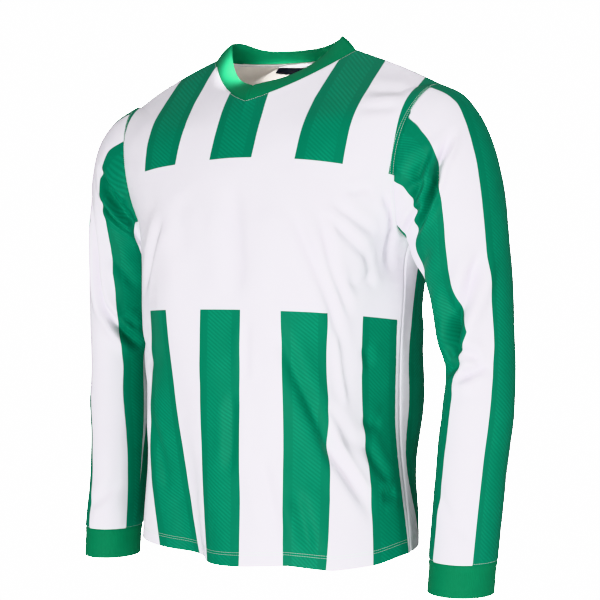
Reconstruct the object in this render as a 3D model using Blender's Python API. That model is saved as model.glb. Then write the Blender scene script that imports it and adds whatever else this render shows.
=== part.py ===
"""Long-sleeve jersey, filled out as if worn, with nobody in it.

Metres, +Z up. The front faces -Y and the wearer's left is +X. The origin lies between the two
points where the collar meets the shoulder seams. Every piece is a cloth wall, open at the neck,
the hem and the cuffs, and neighbouring pieces stand 0.3 mm apart along the seam that joins them.
"""
import bpy
import numpy as np

# Driving sizes
wall = 0.002               # thickness of the cloth wall
seamGap = 0.0003           # between two pieces that a seam joins
panelHalf = 0.273          # centre line to side seam, measured along the cloth
stripe = 0.0585            # width of a stripe, and of the gap beside it
bandLow, bandHigh = -0.3435, -0.151      # heights between which the chest has no stripes
bandBow = dict(near=(0.20, 0.62), far=(0.12, 0.40))   # droop of the band's lower and upper edges
sleeveTurn = 0.008         # how far in front of a sleeve's outer line its print is centred
armRadius = 0.055          # mean radius of a sleeve, turning its folds' angles into distances
collarBulge = 0.0015       # how far the collar band rounds out between its edges
tapeFrom, tapeTo = 0.0012, 0.0077        # neck tape, distances below the collar seam
labelFrom, labelTo = 0.0090, 0.0195      # neck label, likewise
labelHalf = 0.058          # centre line to the first column of points the label leaves out
trimThick = 0.0009         # tape and label
trimGap = 0.0004           # between the trim and the wall it lies on

# Row numbers where the edge of a panel changes: side seam, armhole, shoulder seam
armpitRow, tipRow, neckRow = 5, 9, 11
# Grid of the solids: rows on each of those three stretches, and columns across
sideSteps, holeSteps, shoulderSteps = 10, 12, 4
frontSteps, backSteps, sleeveSteps, cuffSteps, collarSteps = 28, 24, 24, 4, 3
# Powers of the share across a panel: how late a row makes up its miss of the seam, how late it
# meets the seam's corners, and how near the seam its folds die out
missPower, cornerPower, foldPower = 1.5, 8, 6

# Rows of each panel: centre line point, how square the row rounds and how far round it wraps,
# how its height rises from the centre to the edge, and how far it comes to a point at the centre
# (hem, hip, waist, belly, chest, armpit, three up the armhole, shoulder tip, mid shoulder, neck)
frontRows = dict(
    centreZ=(-0.667, -0.585, -0.500, -0.420, -0.335, -0.255, -0.200, -0.160, -0.132, -0.112, -0.093, -0.072),
    centreY=(-0.154, -0.157, -0.160, -0.162, -0.163, -0.158, -0.149, -0.139, -0.128, -0.119, -0.111, -0.101),
    roundness=(2.05, 2.05, 2.05, 2.05, 2.05, 2.05, 2.05, 2.00, 1.95, 1.90, 1.95, 2.05),
    wrap=(1.00, 1.00, 1.00, 1.00, 1.00, 0.98, 0.95, 0.93, 0.93, 0.92, 0.84, 0.70),
    rise=(2.20, 2.20, 2.20, 2.20, 2.20, 2.20, 2.20, 2.20, 2.20, 2.15, 2.20, 2.25),
    point=(0.00, 0.00, 0.00, 0.00, 0.00, 0.00, 0.00, 0.00, 0.00, 0.00, 0.22, 0.52))
backRows = dict(
    centreZ=(-0.667, -0.580, -0.495, -0.410, -0.320, -0.235, -0.170, -0.115, -0.070, -0.038, -0.014, 0.004),
    centreY=(0.112, 0.112, 0.112, 0.116, 0.120, 0.122, 0.117, 0.109, 0.099, 0.089, 0.079, 0.070),
    roundness=(2.05, 2.05, 2.05, 2.05, 2.05, 2.10, 2.10, 2.10, 2.10, 2.10, 2.00, 1.90),
    wrap=(1.00, 1.00, 1.00, 1.00, 1.00, 0.98, 0.95, 0.93, 0.93, 0.94, 0.96, 0.97),
    rise=(2.20, 2.20, 2.20, 2.20, 2.20, 2.20, 2.20, 2.20, 2.20, 2.20, 2.40, 2.60),
    point=(0.00, 0.00, 0.00, 0.00, 0.00, 0.00, 0.00, 0.00, 0.00, 0.00, 0.00, 0.00))
# How much of a row's depth its printed stripes count: they run straight up the flat panel, and
# the panel leans back over the shoulder
printTurn = (1.0, 1.0, 1.0, 1.0, 1.0, 1.0, 0.95, 0.85, 0.60, 0.30, 0.10, 0.0)

# Heading of the cloth seen from above, in degrees, one stripe width apart along the row.
# The front is read from its wearer's right (far) to left (near): it hangs in a deep fold near
# the hem at far1. The back is the same both ways from its centre.
#            hem  hip waist belly chest armpit
frontHeadings = dict(
    far4=  (-65, -72, -80, -76, -78, -78),
    far3=  (-27, -42, -60, -38, -40, -50),
    far2=  (  9,   4,  -9, -30, -36, -36),
    far1=  (-56, -42, -31, -14,  -3,  -4),
    middle=( -9,  -3,  -1,   2,   0,   0),
    near1= ( 18,   9,  12,   5,   2,   4),
    near2= ( 12,  33,  44,  51,  36,  34),
    near3= ( 44,  53,  70,  67,  67,  60),
    near4= ( 70,  72,  66,  66,  69,  76))
backHeadings = dict(
    middle=(  0,   0,   0,   0,   0,   0),
    out1=  (-24,  -8,   4,  -1,  -4,  -7),
    out2=  ( -7,  -3,   0,  -8, -15, -14),
    out3=  (-46, -45, -48, -45, -44, -38),
    out4=  (-70, -84, -98, -90, -84, -78),
    out5= (-105, -113, -116, -111, -103, -97))

# Seams between the panels
sideRows = dict(
    nearX=( 0.206,  0.187,  0.172,  0.173,  0.186,  0.203),
    nearY=(-0.036, -0.008,  0.008,  0.003, -0.010, -0.006),
    farX= ( 0.207,  0.197,  0.178,  0.196,  0.197,  0.203),
    farY= (-0.026, -0.014, -0.004, -0.014, -0.014, -0.006),
    z=    (-0.657, -0.576, -0.490, -0.410, -0.325, -0.250))
shoulderRows = dict(x=(0.235, 0.174, 0.110), y=(-0.006, -0.005, 0.000), z=(-0.056, -0.026, 0.000))
armhole = dict(tipX=0.235, tipZ=-0.056, pitX=0.203, pitZ=-0.250, y=-0.006,
               frontDepth=0.068, backDepth=0.074, nearScoop=0.017, farScoop=0.006, backScoop=0.010)

# Sleeve rings from the armhole to the cuff seam: outer and inner point, centre, half depth,
# how much of the armhole's own shape a ring keeps, and how much slimmer the far sleeve is
sleeveRows = dict(
    outerX=(0.235, 0.262, 0.284, 0.300, 0.311, 0.318, 0.323, 0.325, 0.326, 0.325, 0.321, 0.3175, 0.315),
    outerZ=(-0.056, -0.071, -0.099, -0.137, -0.185, -0.240, -0.305,
            -0.360, -0.420, -0.475, -0.530, -0.595, -0.655),
    innerX=(0.203, 0.206, 0.209, 0.212, 0.215, 0.219, 0.223, 0.229, 0.239, 0.236, 0.232, 0.2305, 0.229),
    innerZ=(-0.250, -0.253, -0.258, -0.266, -0.280, -0.302, -0.335,
            -0.375, -0.420, -0.472, -0.530, -0.595, -0.655),
    centreY=(-0.006, -0.004, -0.002, -0.001, 0.000, 0.001, 0.003,
             0.006, 0.007, 0.004, -0.003, -0.013, -0.025),
    depth=(0.071, 0.072, 0.071, 0.069, 0.066, 0.063, 0.059, 0.055, 0.051, 0.051, 0.050, 0.048, 0.046),
    scoop=(1.00, 0.66, 0.33, 0.10, 0.00, 0.00, 0.00, 0.00, 0.00, 0.00, 0.00, 0.00, 0.00),
    slimmer=(0.000, -0.006, -0.008, -0.003, 0.003, 0.006, 0.007,
             0.005, 0.008, 0.006, 0.009, 0.0095, 0.009))
cuffRows = dict(
    outerX=(0.3150, 0.3135, 0.3130, 0.3125), outerZ=(-0.655, -0.665, -0.680, -0.695),
    innerX=(0.2290, 0.2300, 0.2295, 0.2290), innerZ=(-0.655, -0.665, -0.680, -0.695),
    centreY=(-0.025, -0.0265, -0.0285, -0.0305), depth=(0.046, 0.0445, 0.0440, 0.0435),
    scoop=(0, 0, 0, 0), slimmer=(0.009, 0.009, 0.009, 0.009))

# Free edge of the collar band
collarEdge = dict(
    front=dict(y=-0.083, z=-0.050, roundness=1.32, rise=3.50, wrap=0.985, point=0.38),
    back=dict(y=0.055, z=0.018, roundness=2.00, rise=2.00, wrap=0.995, point=0.00))
collarSide = dict(x=0.086, y=0.005, z=0.020)
collarLift = dict(x=-0.084, y=0.024, high=0.0075, reach=0.024)       # the edge stands up here

# Largest folds. On a panel a fold runs between two points given across the cloth and by height;
# on a sleeve between two angles (0 outer line, 90 front, 180 inner line) and heights.
panelFolds = dict(
    fromAcross=( 0.098,  0.128,  0.088, -0.120, -0.175,  0.215, -0.030),
    fromZ=     (-0.195, -0.205, -0.380, -0.190, -0.260, -0.275, -0.600),
    toAcross=  ( 0.148,  0.165,  0.150, -0.150, -0.135,  0.180, -0.045),
    toZ=       (-0.345, -0.330, -0.520, -0.330, -0.420, -0.400, -0.430),
    width=     ( 0.014,  0.012,  0.014,  0.015,  0.014,  0.012,  0.014),
    height=    (-0.005, -0.004, -0.005, -0.004, -0.004,  0.004, -0.004))
backFolds = dict(
    fromAcross=( 0.120, -0.120,  0.200, -0.205,  0.060, -0.080),
    fromZ=     (-0.140, -0.145, -0.300, -0.290, -0.420, -0.440),
    toAcross=  ( 0.165, -0.165,  0.110, -0.120,  0.150, -0.160),
    toZ=       (-0.300, -0.290, -0.400, -0.420, -0.560, -0.600),
    width=     ( 0.015,  0.015,  0.014,  0.015,  0.015,  0.014),
    height=    (-0.005, -0.005, -0.005,  0.005, -0.005,  0.004))
sleeveFolds = dict(
    fromAngle=(   150,    165,    160,    -150,    -160,    155,    150),
    fromZ=    (-0.270, -0.405, -0.440,  -0.280,  -0.410, -0.330, -0.560),
    toAngle=  (    75,     70,     65,     -80,     -70,     85,     60),
    toZ=      (-0.140, -0.365, -0.455,  -0.150,  -0.380, -0.250, -0.590),
    width=    ( 0.013,  0.011,  0.010,   0.013,   0.011,  0.012,  0.010),
    height=   (-0.006, -0.006, -0.004,  -0.006,  -0.005, -0.004, -0.003))

cloth = dict(               # colour, roughness
    green=((0.004, 0.262, 0.112, 1.0), 0.62),
    white=((0.860, 0.850, 0.880, 1.0), 0.66),
    rib=((0.006, 0.340, 0.160, 1.0), 0.74),
    tape=((0.800, 0.780, 0.800, 1.0), 0.70),
    label=((0.012, 0.012, 0.014, 1.0), 0.50))


def smooth(values, t):
    """A curve through a column's values, one apart, going straight on past its ends."""
    v = np.asarray(values, float)
    v = np.concatenate([[2*v[0] - v[1]], v, [2*v[-1] - v[-2]]])
    t = np.asarray(t, float)
    i = np.clip(np.floor(t).astype(int), 0, len(v) - 4)
    f = t - i
    a, b, c, d = v[i], v[i + 1], v[i + 2], v[i + 3]
    return 0.5*(2*b + (c - a)*f + (2*a - 5*b + 4*c - d)*f**2 + (3*b - a - 3*c + d)*f**3)


def unit(v):
    return v/(np.linalg.norm(v, axis=-1, keepdims=True) + 1e-12)


def fade(x):
    """0 to 1 with flat ends."""
    x = np.clip(x, 0, 1)
    return x*x*(3 - 2*x)


def armholePoint(phi, hand):
    """The armhole seam: an egg scooped in at its sides. phi is 0 at the tip, +pi/2 in front."""
    a, c, s = armhole, np.cos(phi), np.sin(phi)
    depth = np.where(s >= 0, a["frontDepth"], a["backDepth"])
    frontScoop = a["nearScoop"] if hand > 0 else a["farScoop"]
    scoop = np.where(s >= 0, frontScoop, a["backScoop"])*np.abs(s)**1.3
    x = (a["tipX"] + a["pitX"])/2 + (a["tipX"] - a["pitX"])/2*c - scoop
    z = (a["tipZ"] + a["pitZ"])/2 + (a["tipZ"] - a["pitZ"])/2*c
    return np.stack([hand*x, a["y"] - depth*s, z], -1)


def armholeAngle(t):
    return np.pi*(1 - (np.clip(t, armpitRow, tipRow) - armpitRow)/(tipRow - armpitRow))


def edgePoint(t, hand, side):
    """A panel's edge at row t: side seam, then armhole, then shoulder seam."""
    which = "near" if hand > 0 else "far"
    seam = np.stack([hand*smooth(sideRows[which + "X"], t), smooth(sideRows[which + "Y"], t),
                     smooth(sideRows["z"], t)], -1)
    hole = armholePoint(side*armholeAngle(t), hand)
    s = t - tipRow
    top = np.stack([hand*smooth(shoulderRows["x"], s), smooth(shoulderRows["y"], s),
                    smooth(shoulderRows["z"], s)], -1)
    low, high = (t <= armpitRow)[..., None], (t >= tipRow)[..., None]
    return np.where(low, seam, np.where(high, top, hole))


def softEdge(t, hand, side, reach=0.9, taps=9):
    """The same edge with its corners rounded off by averaging, for the rows inside to follow."""
    total = 0
    for k in np.linspace(-reach, reach, taps):
        s = t + k
        held = np.clip(s, 0, neckRow)
        inside = edgePoint(held, hand, side)
        beyond = 2*inside - edgePoint(2*held - s, hand, side)
        total = total + np.where((s != held)[..., None], beyond, inside)
    return total/taps


def arcShares(u, n, m, k, point):
    """Shares sideways, back and up from an arc's centre to its edge, for shares u of its turn."""
    s = np.sin(u*np.arcsin(k))/k
    bend = (1 - (1 - np.minimum(s*k, 1)**n)**(1/n))/(1 - (1 - k**n)**(1/n))
    return s, point*s + (1 - point)*bend, point*s + (1 - point)*s**m


def arcRows(t, u, rows, edges):
    """Rows as rounded arcs from the centre line to the edge on each side."""
    T, U = np.meshgrid(t, u, indexing="ij")
    k = np.minimum(smooth(rows["wrap"], T), 1)
    n, m = smooth(rows["roundness"], T), smooth(rows["rise"], T)
    cy, cz = smooth(rows["centreY"], T), smooth(rows["centreZ"], T)
    edge = np.where((U < 0)[..., None], edges[-1][:, None, :], edges[1][:, None, :])
    s, bend, lift = arcShares(np.abs(U), n, m, k, smooth(rows["point"], T))
    return np.stack([edge[..., 0]*s, cy + (edge[..., 1] - cy)*bend, cz + (edge[..., 2] - cz)*lift], -1)


def walkOut(headings, reach, u):
    """Plan of one half row: walk from the centre along the headings, read at shares of reach."""
    steps = np.linspace(0, 1.1*panelHalf, 240)
    angle = np.radians(np.interp(steps, np.arange(len(headings))*stripe, headings))
    gap = steps[1]
    path = [np.concatenate([[0], np.cumsum((f[1:] + f[:-1])/2*gap)]) for f in (np.cos(angle), np.sin(angle))]
    q = np.append(np.abs(u), 1)*reach
    return [np.interp(q, steps, p) for p in path]


def walkRows(t, u, side, rows, edges, reach):
    """Plan of every row, each half brought onto its seam by a share that grows outwards."""
    plan = np.zeros((len(t), len(u), 2))
    share = np.abs(u)**missPower
    table = np.stack([smooth(c, np.minimum(t, armpitRow))
                      for c in (frontHeadings if side > 0 else backHeadings).values()], -1)
    middle = table.shape[1]//2 if side > 0 else 0
    for i, row in enumerate(table):
        cy = smooth(rows["centreY"], t[i])
        for hand in (-1, 1):
            headings = row[middle:]
            if side > 0 and hand < 0:
                headings = -row[middle::-1]
            x, y = walkOut(headings, reach[hand][i], u)
            missX = abs(edges[hand][i, 0]) - x[-1]
            missY = edges[hand][i, 1] - cy - y[-1]
            half = u < 0 if hand < 0 else u >= 0
            plan[i, half, 0] = (hand*(x[:-1] + share*missX))[half]
            plan[i, half, 1] = (cy + y[:-1] + share*missY)[half]
    return plan


def bodyGrid(t, u, side):
    """Front (side 1) or back (side -1) panel at rows t and columns u."""
    rows = frontRows if side > 0 else backRows
    soft = {h: softEdge(t, h, side) for h in (-1, 1)}
    hard = {h: edgePoint(t, h, side) for h in (-1, 1)}
    p = arcRows(t, u, rows, soft)
    blend = fade((t - armpitRow)/2.5)
    reach = {}
    for h in (-1, 1):
        fine = h*np.linspace(0, 1, 60)
        tt = np.append(t, armpitRow)
        edges = {k: softEdge(tt, k, side) for k in (-1, 1)}
        length = np.linalg.norm(np.diff(arcRows(tt, fine, rows, edges)[..., :2], axis=1), axis=-1).sum(1)
        reach[h] = np.where(t <= armpitRow, panelHalf, panelHalf*length[:-1]/length[-1])
    plan = walkRows(t, u, side, rows, soft, reach)
    p[..., :2] = blend[:, None, None]*p[..., :2] + (1 - blend)[:, None, None]*plan
    correction = np.where((u < 0)[None, :, None], (hard[-1] - soft[-1])[:, None], (hard[1] - soft[1])[:, None])
    return p + (np.abs(u)**cornerPower)[None, :, None]*correction


def tubeGrid(t, phi, hand, rows):
    """Rings of a sleeve or cuff. Ring 0 of a sleeve is the armhole itself."""
    T, F = np.meshgrid(t, phi, indexing="ij")
    slim = smooth(rows["slimmer"], T) if hand < 0 else 0
    xo, xi = smooth(rows["outerX"], T) - slim, smooth(rows["innerX"], T)
    zo, zi = smooth(rows["outerZ"], T), smooth(rows["innerZ"], T)
    c = np.cos(F)
    p = np.stack([hand*((xo + xi)/2 + (xo - xi)/2*c),
                  smooth(rows["centreY"], T) - smooth(rows["depth"], T)*np.sin(F),
                  (zo + zi)/2 + (zo - zi)/2*c], -1)
    share = smooth(rows["scoop"], T)[..., None]
    if np.any(share > 0):
        first = tubeGrid(np.zeros(1), phi, hand, dict(rows, scoop=(0, 0, 0)))
        p = p + share*(armholePoint(phi, hand)[None] - first)
    return p


def collarRing():
    """Seam edge and free edge of the collar: the front from far to near, then the back."""
    seam, free = [], []
    for side, steps in ((1, frontSteps), (-1, backSteps)):
        u = np.linspace(-1, 1, steps + 1)[:-1]*side
        row = bodyGrid(np.array([float(neckRow)]), np.sort(u), side)[0]
        e = collarEdge["front" if side > 0 else "back"]
        s, bend, lift = arcShares(np.abs(u), e["roundness"], e["rise"], e["wrap"], e["point"])
        x, y = np.sign(u)*collarSide["x"]*s, e["y"] + (collarSide["y"] - e["y"])*bend
        away = np.hypot(x - collarLift["x"], y - collarLift["y"])/collarLift["reach"]
        z = e["z"] + (collarSide["z"] - e["z"])*lift + collarLift["high"]*np.exp(-away**2)
        seam.append(row[::side])
        free.append(np.stack([x, y, z], -1))
    return np.concatenate(seam), np.concatenate(free)


def collarGrid():
    """The band from seam to free edge, rounded out a little between them."""
    seam, free = collarRing()
    w = np.linspace(0, 1, collarSteps + 1)[:, None, None]
    p = seam*(1 - w) + free*w
    outwards = unit(np.cross(np.roll(seam, -1, 0) - np.roll(seam, 1, 0), free - seam))
    return p + 4*w*(1 - w)*collarBulge*outwards


def foldDepth(across, z, table):
    """Sum of the table's folds: each a soft trough or ridge along a line, fading at its ends."""
    total = np.zeros(across.shape)
    if "fromAngle" in table:
        starts, stops = (armRadius*np.radians(table[k]) for k in ("fromAngle", "toAngle"))
    else:
        starts, stops = table["fromAcross"], table["toAcross"]
    for a0, z0, a1, z1, width, height in zip(starts, table["fromZ"], stops, table["toZ"],
                                             table["width"], table["height"]):
        dx, dz = a1 - a0, z1 - z0
        length = np.hypot(dx, dz)
        along = ((across - a0)*dx + (z - z0)*dz)/length**2
        off = ((across - a0)*dz - (z - z0)*dx)/length
        total += height*np.exp(-(off/width)**2)*fade(along/0.4)*fade((1 - along)/0.4)
    return total


def gridNormals(p, closed):
    """Outward unit normals of a grid whose rows run across and whose columns run up or along."""
    if closed:
        across = np.roll(p, -1, 1) - np.roll(p, 1, 1)
    else:
        across = np.gradient(p, axis=1)
    return unit(np.cross(across, np.gradient(p, axis=0)))


def seamShift(line, normals, towards, closed=False):
    """Moves a seam line half the gap towards its own piece, with mitred corners."""
    step = (np.roll(line, -1, 0) - line) if closed else np.diff(line, axis=0)
    nn = np.roll(normals, -1, 0) if closed else normals[1:]
    d = unit(np.cross(step, (normals if closed else normals[:-1]) + nn))
    inward = towards - line
    inward = inward + np.roll(inward, -1, 0) if closed else inward[:-1] + inward[1:]
    d *= np.sign((d*inward).sum(-1, keepdims=True))
    before = np.roll(d, 1, 0) if closed else np.concatenate([d[:1], d])
    after = d if closed else np.concatenate([d, d[-1:]])
    return seamGap/2*(before + after)/(1 + (before*after).sum(-1, keepdims=True))


def panelRows():
    return np.concatenate([np.linspace(0, armpitRow, sideSteps + 1),
                           np.linspace(armpitRow, tipRow, holeSteps + 1)[1:],
                           np.linspace(tipRow, neckRow, shoulderSteps + 1)[1:]])


def acrossCloth(p):
    """Distance across the cloth from the centre line of a panel."""
    d = np.linalg.norm(np.diff(p, axis=1), axis=-1)
    q = np.concatenate([np.zeros((len(p), 1)), np.cumsum(d, 1)], 1)
    return q - q[:, [p.shape[1]//2]]


def panelPrint(p, front):
    """Place across a panel's print, and where the chest band leaves it bare."""
    t = panelRows()
    printed = acrossCloth(p*np.stack([np.ones(len(t)), smooth(printTurn, t), np.zeros(len(t))], -1)[:, None])
    part = (p[..., 2] - bandLow)/(bandHigh - bandLow)
    near, far = (low + (high - low)*part for low, high in (bandBow["near"], bandBow["far"]))
    z = p[..., 2] + np.where(printed > 0, near, far)*printed**2
    return printed, front & (z > bandLow) & (z < bandHigh)


def sleevePrint(p, name):
    """Place round a sleeve's print, from its centre."""
    hand = 1 if name.endswith("left") else -1
    steps = np.linalg.norm(np.roll(p, -1, 1) - p, axis=-1)
    around = np.cumsum(steps, 1) - steps
    around = hand*(around - around[:, [sleeveColumn(name, tipRow, 1)]]) - sleeveTurn
    return around, np.zeros(around.shape, bool)


def makeSurfaces():
    """Outer surface and normals of every piece, with one shared normal along each seam."""
    t = panelRows()
    surfaces = {}
    for name, side, steps, table in (("front", 1, frontSteps, panelFolds), ("back", -1, backSteps, backFolds)):
        u = np.linspace(-1, 1, steps + 1)*side
        p = bodyGrid(t, np.sort(u), side)
        p = p if side > 0 else p[:, ::-1]
        n = gridNormals(p, False)
        inner = (1 - np.abs(u)**foldPower)[None, :]*fade((neckRow - t)/2)[:, None]
        across = acrossCloth(p)*side
        depth = foldDepth(across, p[..., 2], table)*inner
        p = p + depth[..., None]*n
        surfaces[name] = [p, gridNormals(p, False)]
    phi = -np.pi + np.arange(sleeveRound())*2*np.pi/sleeveRound()
    for name, hand in (("left", 1), ("right", -1)):
        ring = np.linspace(0, len(sleeveRows["outerX"]) - 1, sleeveSteps + 1)
        p = tubeGrid(ring, phi, hand, sleeveRows)[:, ::hand]
        n = gridNormals(p, True)
        around = armRadius*phi[::hand][None, :]*np.ones((len(ring), 1))
        depth = foldDepth(around, p[..., 2], sleeveFolds)
        p = p + (depth*fade(ring/2)[:, None]*fade((ring[-1] - ring)/1.5)[:, None])[..., None]*n
        surfaces["sleeve_" + name] = [p, gridNormals(p, True)]
        p = tubeGrid(np.linspace(0, 3, cuffSteps + 1), phi, hand, cuffRows)[:, ::hand]
        surfaces["cuff_" + name] = [p, gridNormals(p, True)]
    p = collarGrid()
    surfaces["collar"] = [p, gridNormals(p, True)]
    for surface in surfaces.values():
        surface.append(np.full(surface[0].shape[:2] + (1,), wall))
    return surfaces


def sleeveRound():
    return 2*holeSteps


def shareNormals(surfaces, *groups):
    """Gives points of several pieces that meet in a seam one normal and one wall thickness.

    Each group counts once in the mean, however many pieces it holds.
    """
    mean = unit(sum(unit(sum(surfaces[name][1][i, j] for name, i, j in group)) for group in groups))
    places = [place for group in groups for place in group]
    slant = sum(float(surfaces[name][1][i, j] @ mean) for name, i, j in places)/len(places)
    for name, i, j in places:
        surfaces[name][1][i, j] = mean
        surfaces[name][2][i, j] = wall/np.clip(slant, 0.6, 1)


def sleeveColumn(name, t, side):
    """Column of a sleeve's ring that meets row t of the front or back panel."""
    hand = 1 if name.endswith("left") else -1
    k = int(round((side*armholeAngle(t) + np.pi)/(2*np.pi)*sleeveRound())) % sleeveRound()
    return k if hand > 0 else (sleeveRound() - 1 - k)


def joinSeams(surfaces):
    t = panelRows()
    edges = {"front": {"right": 0, "left": -1}, "back": {"left": 0, "right": -1}}
    for name in ("left", "right"):
        sleeve = "sleeve_" + name
        for i, row in enumerate(t):
            places = {side: (side, i, edges[side][name]) for side in ("front", "back")}
            if row < armpitRow or tipRow < row < neckRow:
                shareNormals(surfaces, list(places.values()))
            elif row in (armpitRow, tipRow):
                shareNormals(surfaces, list(places.values()), [(sleeve, 0, sleeveColumn(sleeve, row, 1))])
            elif row < tipRow:
                for side, sign in (("front", 1), ("back", -1)):
                    shareNormals(surfaces, [places[side]], [(sleeve, 0, sleeveColumn(sleeve, row, sign))])
        for k in range(sleeveRound()):
            shareNormals(surfaces, [(sleeve, -1, k)], [("cuff_" + name, 0, k)])
    for j in range(1, frontSteps):
        shareNormals(surfaces, [("front", -1, j)], [("collar", 0, j)])
    for j in range(1, backSteps):
        shareNormals(surfaces, [("back", -1, j)], [("collar", 0, frontSteps + j)])
    shareNormals(surfaces, [("front", -1, 0), ("back", -1, -1)], [("collar", 0, 0)])
    shareNormals(surfaces, [("front", -1, -1), ("back", -1, 0)], [("collar", 0, frontSteps)])


def wallGrids(surfaces):
    """Outer and inner grids of each cloth wall, drawn back from its seams."""
    grids = {}
    for name, (p, n, thick) in surfaces.items():
        closed = name not in ("front", "back")
        shift = np.zeros(p.shape)
        if closed:
            shift[0] = seamShift(p[0], n[0], p[1], True)
            if name.startswith("sleeve"):
                shift[-1] = seamShift(p[-1], n[-1], p[-2], True)
        else:
            shift[:, 0] += seamShift(p[:, 0], n[:, 0], p[:, 1])
            shift[:, -1] += seamShift(p[:, -1], n[:, -1], p[:, -2])
            shift[-1] += seamShift(p[-1], n[-1], p[-2])
        grids[name] = (p + shift, p + shift - thick*n)
    return grids


def shellFaces(rows, cols, closed):
    """Faces of a closed shell: outer grid, inner grid and the rims between their edges."""
    wide = cols if closed else cols - 1
    i, j = np.meshgrid(np.arange(rows - 1), np.arange(wide), indexing="ij")
    k = (j + 1) % cols
    outer = np.stack([i*cols + j, i*cols + k, (i + 1)*cols + k, (i + 1)*cols + j], -1).reshape(-1, 4)
    step = rows*cols
    faces = [outer, outer[:, ::-1] + step]
    j = np.arange(wide)
    k = (j + 1) % cols
    for row, turn in ((0, 1), (rows - 1, -1)):
        a, b = row*cols + j, row*cols + k
        faces.append(np.stack([a, a + step, b + step, b], -1)[:, ::turn])
    if not closed:
        i = np.arange(rows - 1)
        for col, turn in ((0, -1), (cols - 1, 1)):
            a, b = i*cols + col, (i + 1)*cols + col
            faces.append(np.stack([a, a + step, b + step, b], -1)[:, ::turn])
    return np.concatenate(faces)


def makeMaterial(name):
    colour, roughness = cloth[name]
    material = bpy.data.materials.new(name)
    material.use_nodes = True
    shader = material.node_tree.nodes["Principled BSDF"]
    shader.inputs["Base Color"].default_value = colour
    shader.inputs["Roughness"].default_value = roughness
    material.diffuse_color = colour
    return material


def addPiece(name, outer, inner, closed, materials, collection, faceSlot=None):
    rows, cols = outer.shape[:2]
    faces = shellFaces(rows, cols, closed)
    mesh = bpy.data.meshes.new(name)
    mesh.from_pydata(np.concatenate([outer.reshape(-1, 3), inner.reshape(-1, 3)]).tolist(), [], faces.tolist())
    for material in materials:
        mesh.materials.append(material)
    if faceSlot is not None:
        mesh.polygons.foreach_set("material_index", faceSlot(faces))
    mesh.shade_smooth()
    mesh.set_sharp_from_angle(angle=np.radians(50))
    mesh.validate()
    collection.objects.link(bpy.data.objects.new(name, mesh))


def stripeSlots(printed, bare):
    """Slot 1, green, where a face's middle lies on a stripe and not in the bare chest band."""
    def slots(faces):
        q, off = (np.tile(v.reshape(-1), 2)[faces].mean(1) for v in (np.abs(printed), bare))
        return ((np.mod(q + stripe/2, 2*stripe) < stripe) & (off < 0.5)).astype(np.int32)
    return slots


def trimGrid(back, columns, start, stop):
    """Strip on the back panel's inside, a set distance below the collar seam, off its own points."""
    outer, inner = back
    n = unit(outer - inner)
    rows = []
    for s in (start, stop):
        points = []
        for j in columns:
            line, nn = inner[::-1, j], n[::-1, j]
            d = np.concatenate([[0], np.cumsum(np.linalg.norm(np.diff(line, axis=0), axis=-1))])
            point = [np.interp(s, d, line[:, k]) for k in range(3)]
            normal = unit(np.array([np.interp(s, d, nn[:, k]) for k in range(3)]))
            points.append(np.array(point + list(normal)))
        rows.append(points)
    grid = np.array(rows)[::-1]
    p, normal = grid[..., :3], grid[..., 3:]
    return p - trimGap*normal, p - (trimGap + trimThick)*normal


def main():
    for old in list(bpy.data.objects):
        bpy.data.objects.remove(old)
    collection = bpy.data.collections.new("long_sleeve_jersey")
    bpy.context.scene.collection.children.link(collection)
    surfaces = makeSurfaces()
    joinSeams(surfaces)
    grids = wallGrids(surfaces)
    materials = {name: makeMaterial(name) for name in cloth}
    for name, (outer, inner) in grids.items():
        closed = name not in ("front", "back")
        if name.startswith("cuff") or name == "collar":
            addPiece(name, outer, inner, closed, [materials["rib"]], collection)
            continue
        printed, bare = sleevePrint(outer, name) if closed else panelPrint(outer, name == "front")
        addPiece(name, outer, inner, closed, [materials["white"], materials["green"]], collection,
                 stripeSlots(printed, bare))
    columns = np.arange(1, backSteps)
    addPiece("neck_tape", *trimGrid(grids["back"], columns, tapeFrom, tapeTo), False,
             [materials["tape"]], collection)
    reach = np.abs(acrossCloth(grids["back"][1])[-1])
    columns = np.flatnonzero(reach < labelHalf)
    addPiece("neck_label", *trimGrid(grids["back"], columns, labelFrom, labelTo), False,
             [materials["label"]], collection)


main()
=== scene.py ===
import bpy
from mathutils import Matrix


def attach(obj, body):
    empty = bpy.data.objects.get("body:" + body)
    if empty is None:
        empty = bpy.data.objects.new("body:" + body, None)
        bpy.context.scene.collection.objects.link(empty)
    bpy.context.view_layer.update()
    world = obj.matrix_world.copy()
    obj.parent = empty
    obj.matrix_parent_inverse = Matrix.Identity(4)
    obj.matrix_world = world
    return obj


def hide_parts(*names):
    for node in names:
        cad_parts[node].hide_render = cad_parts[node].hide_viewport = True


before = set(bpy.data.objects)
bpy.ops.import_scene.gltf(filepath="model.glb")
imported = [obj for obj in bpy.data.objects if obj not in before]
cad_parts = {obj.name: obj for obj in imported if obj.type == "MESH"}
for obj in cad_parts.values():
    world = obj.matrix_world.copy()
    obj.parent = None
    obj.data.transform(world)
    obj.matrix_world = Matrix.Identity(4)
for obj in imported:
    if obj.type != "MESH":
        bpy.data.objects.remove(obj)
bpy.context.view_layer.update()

import bpy
import numpy as np
from mathutils import Vector

# Long-sleeve jersey filled out as if worn. Metres, front towards -Y, the wearer's left is +X.
# The cloth is a thin shell on the same form as the solids: rows of the body from the hem up to
# the neck, rings of the sleeves from the armhole down to the cuff.

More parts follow.
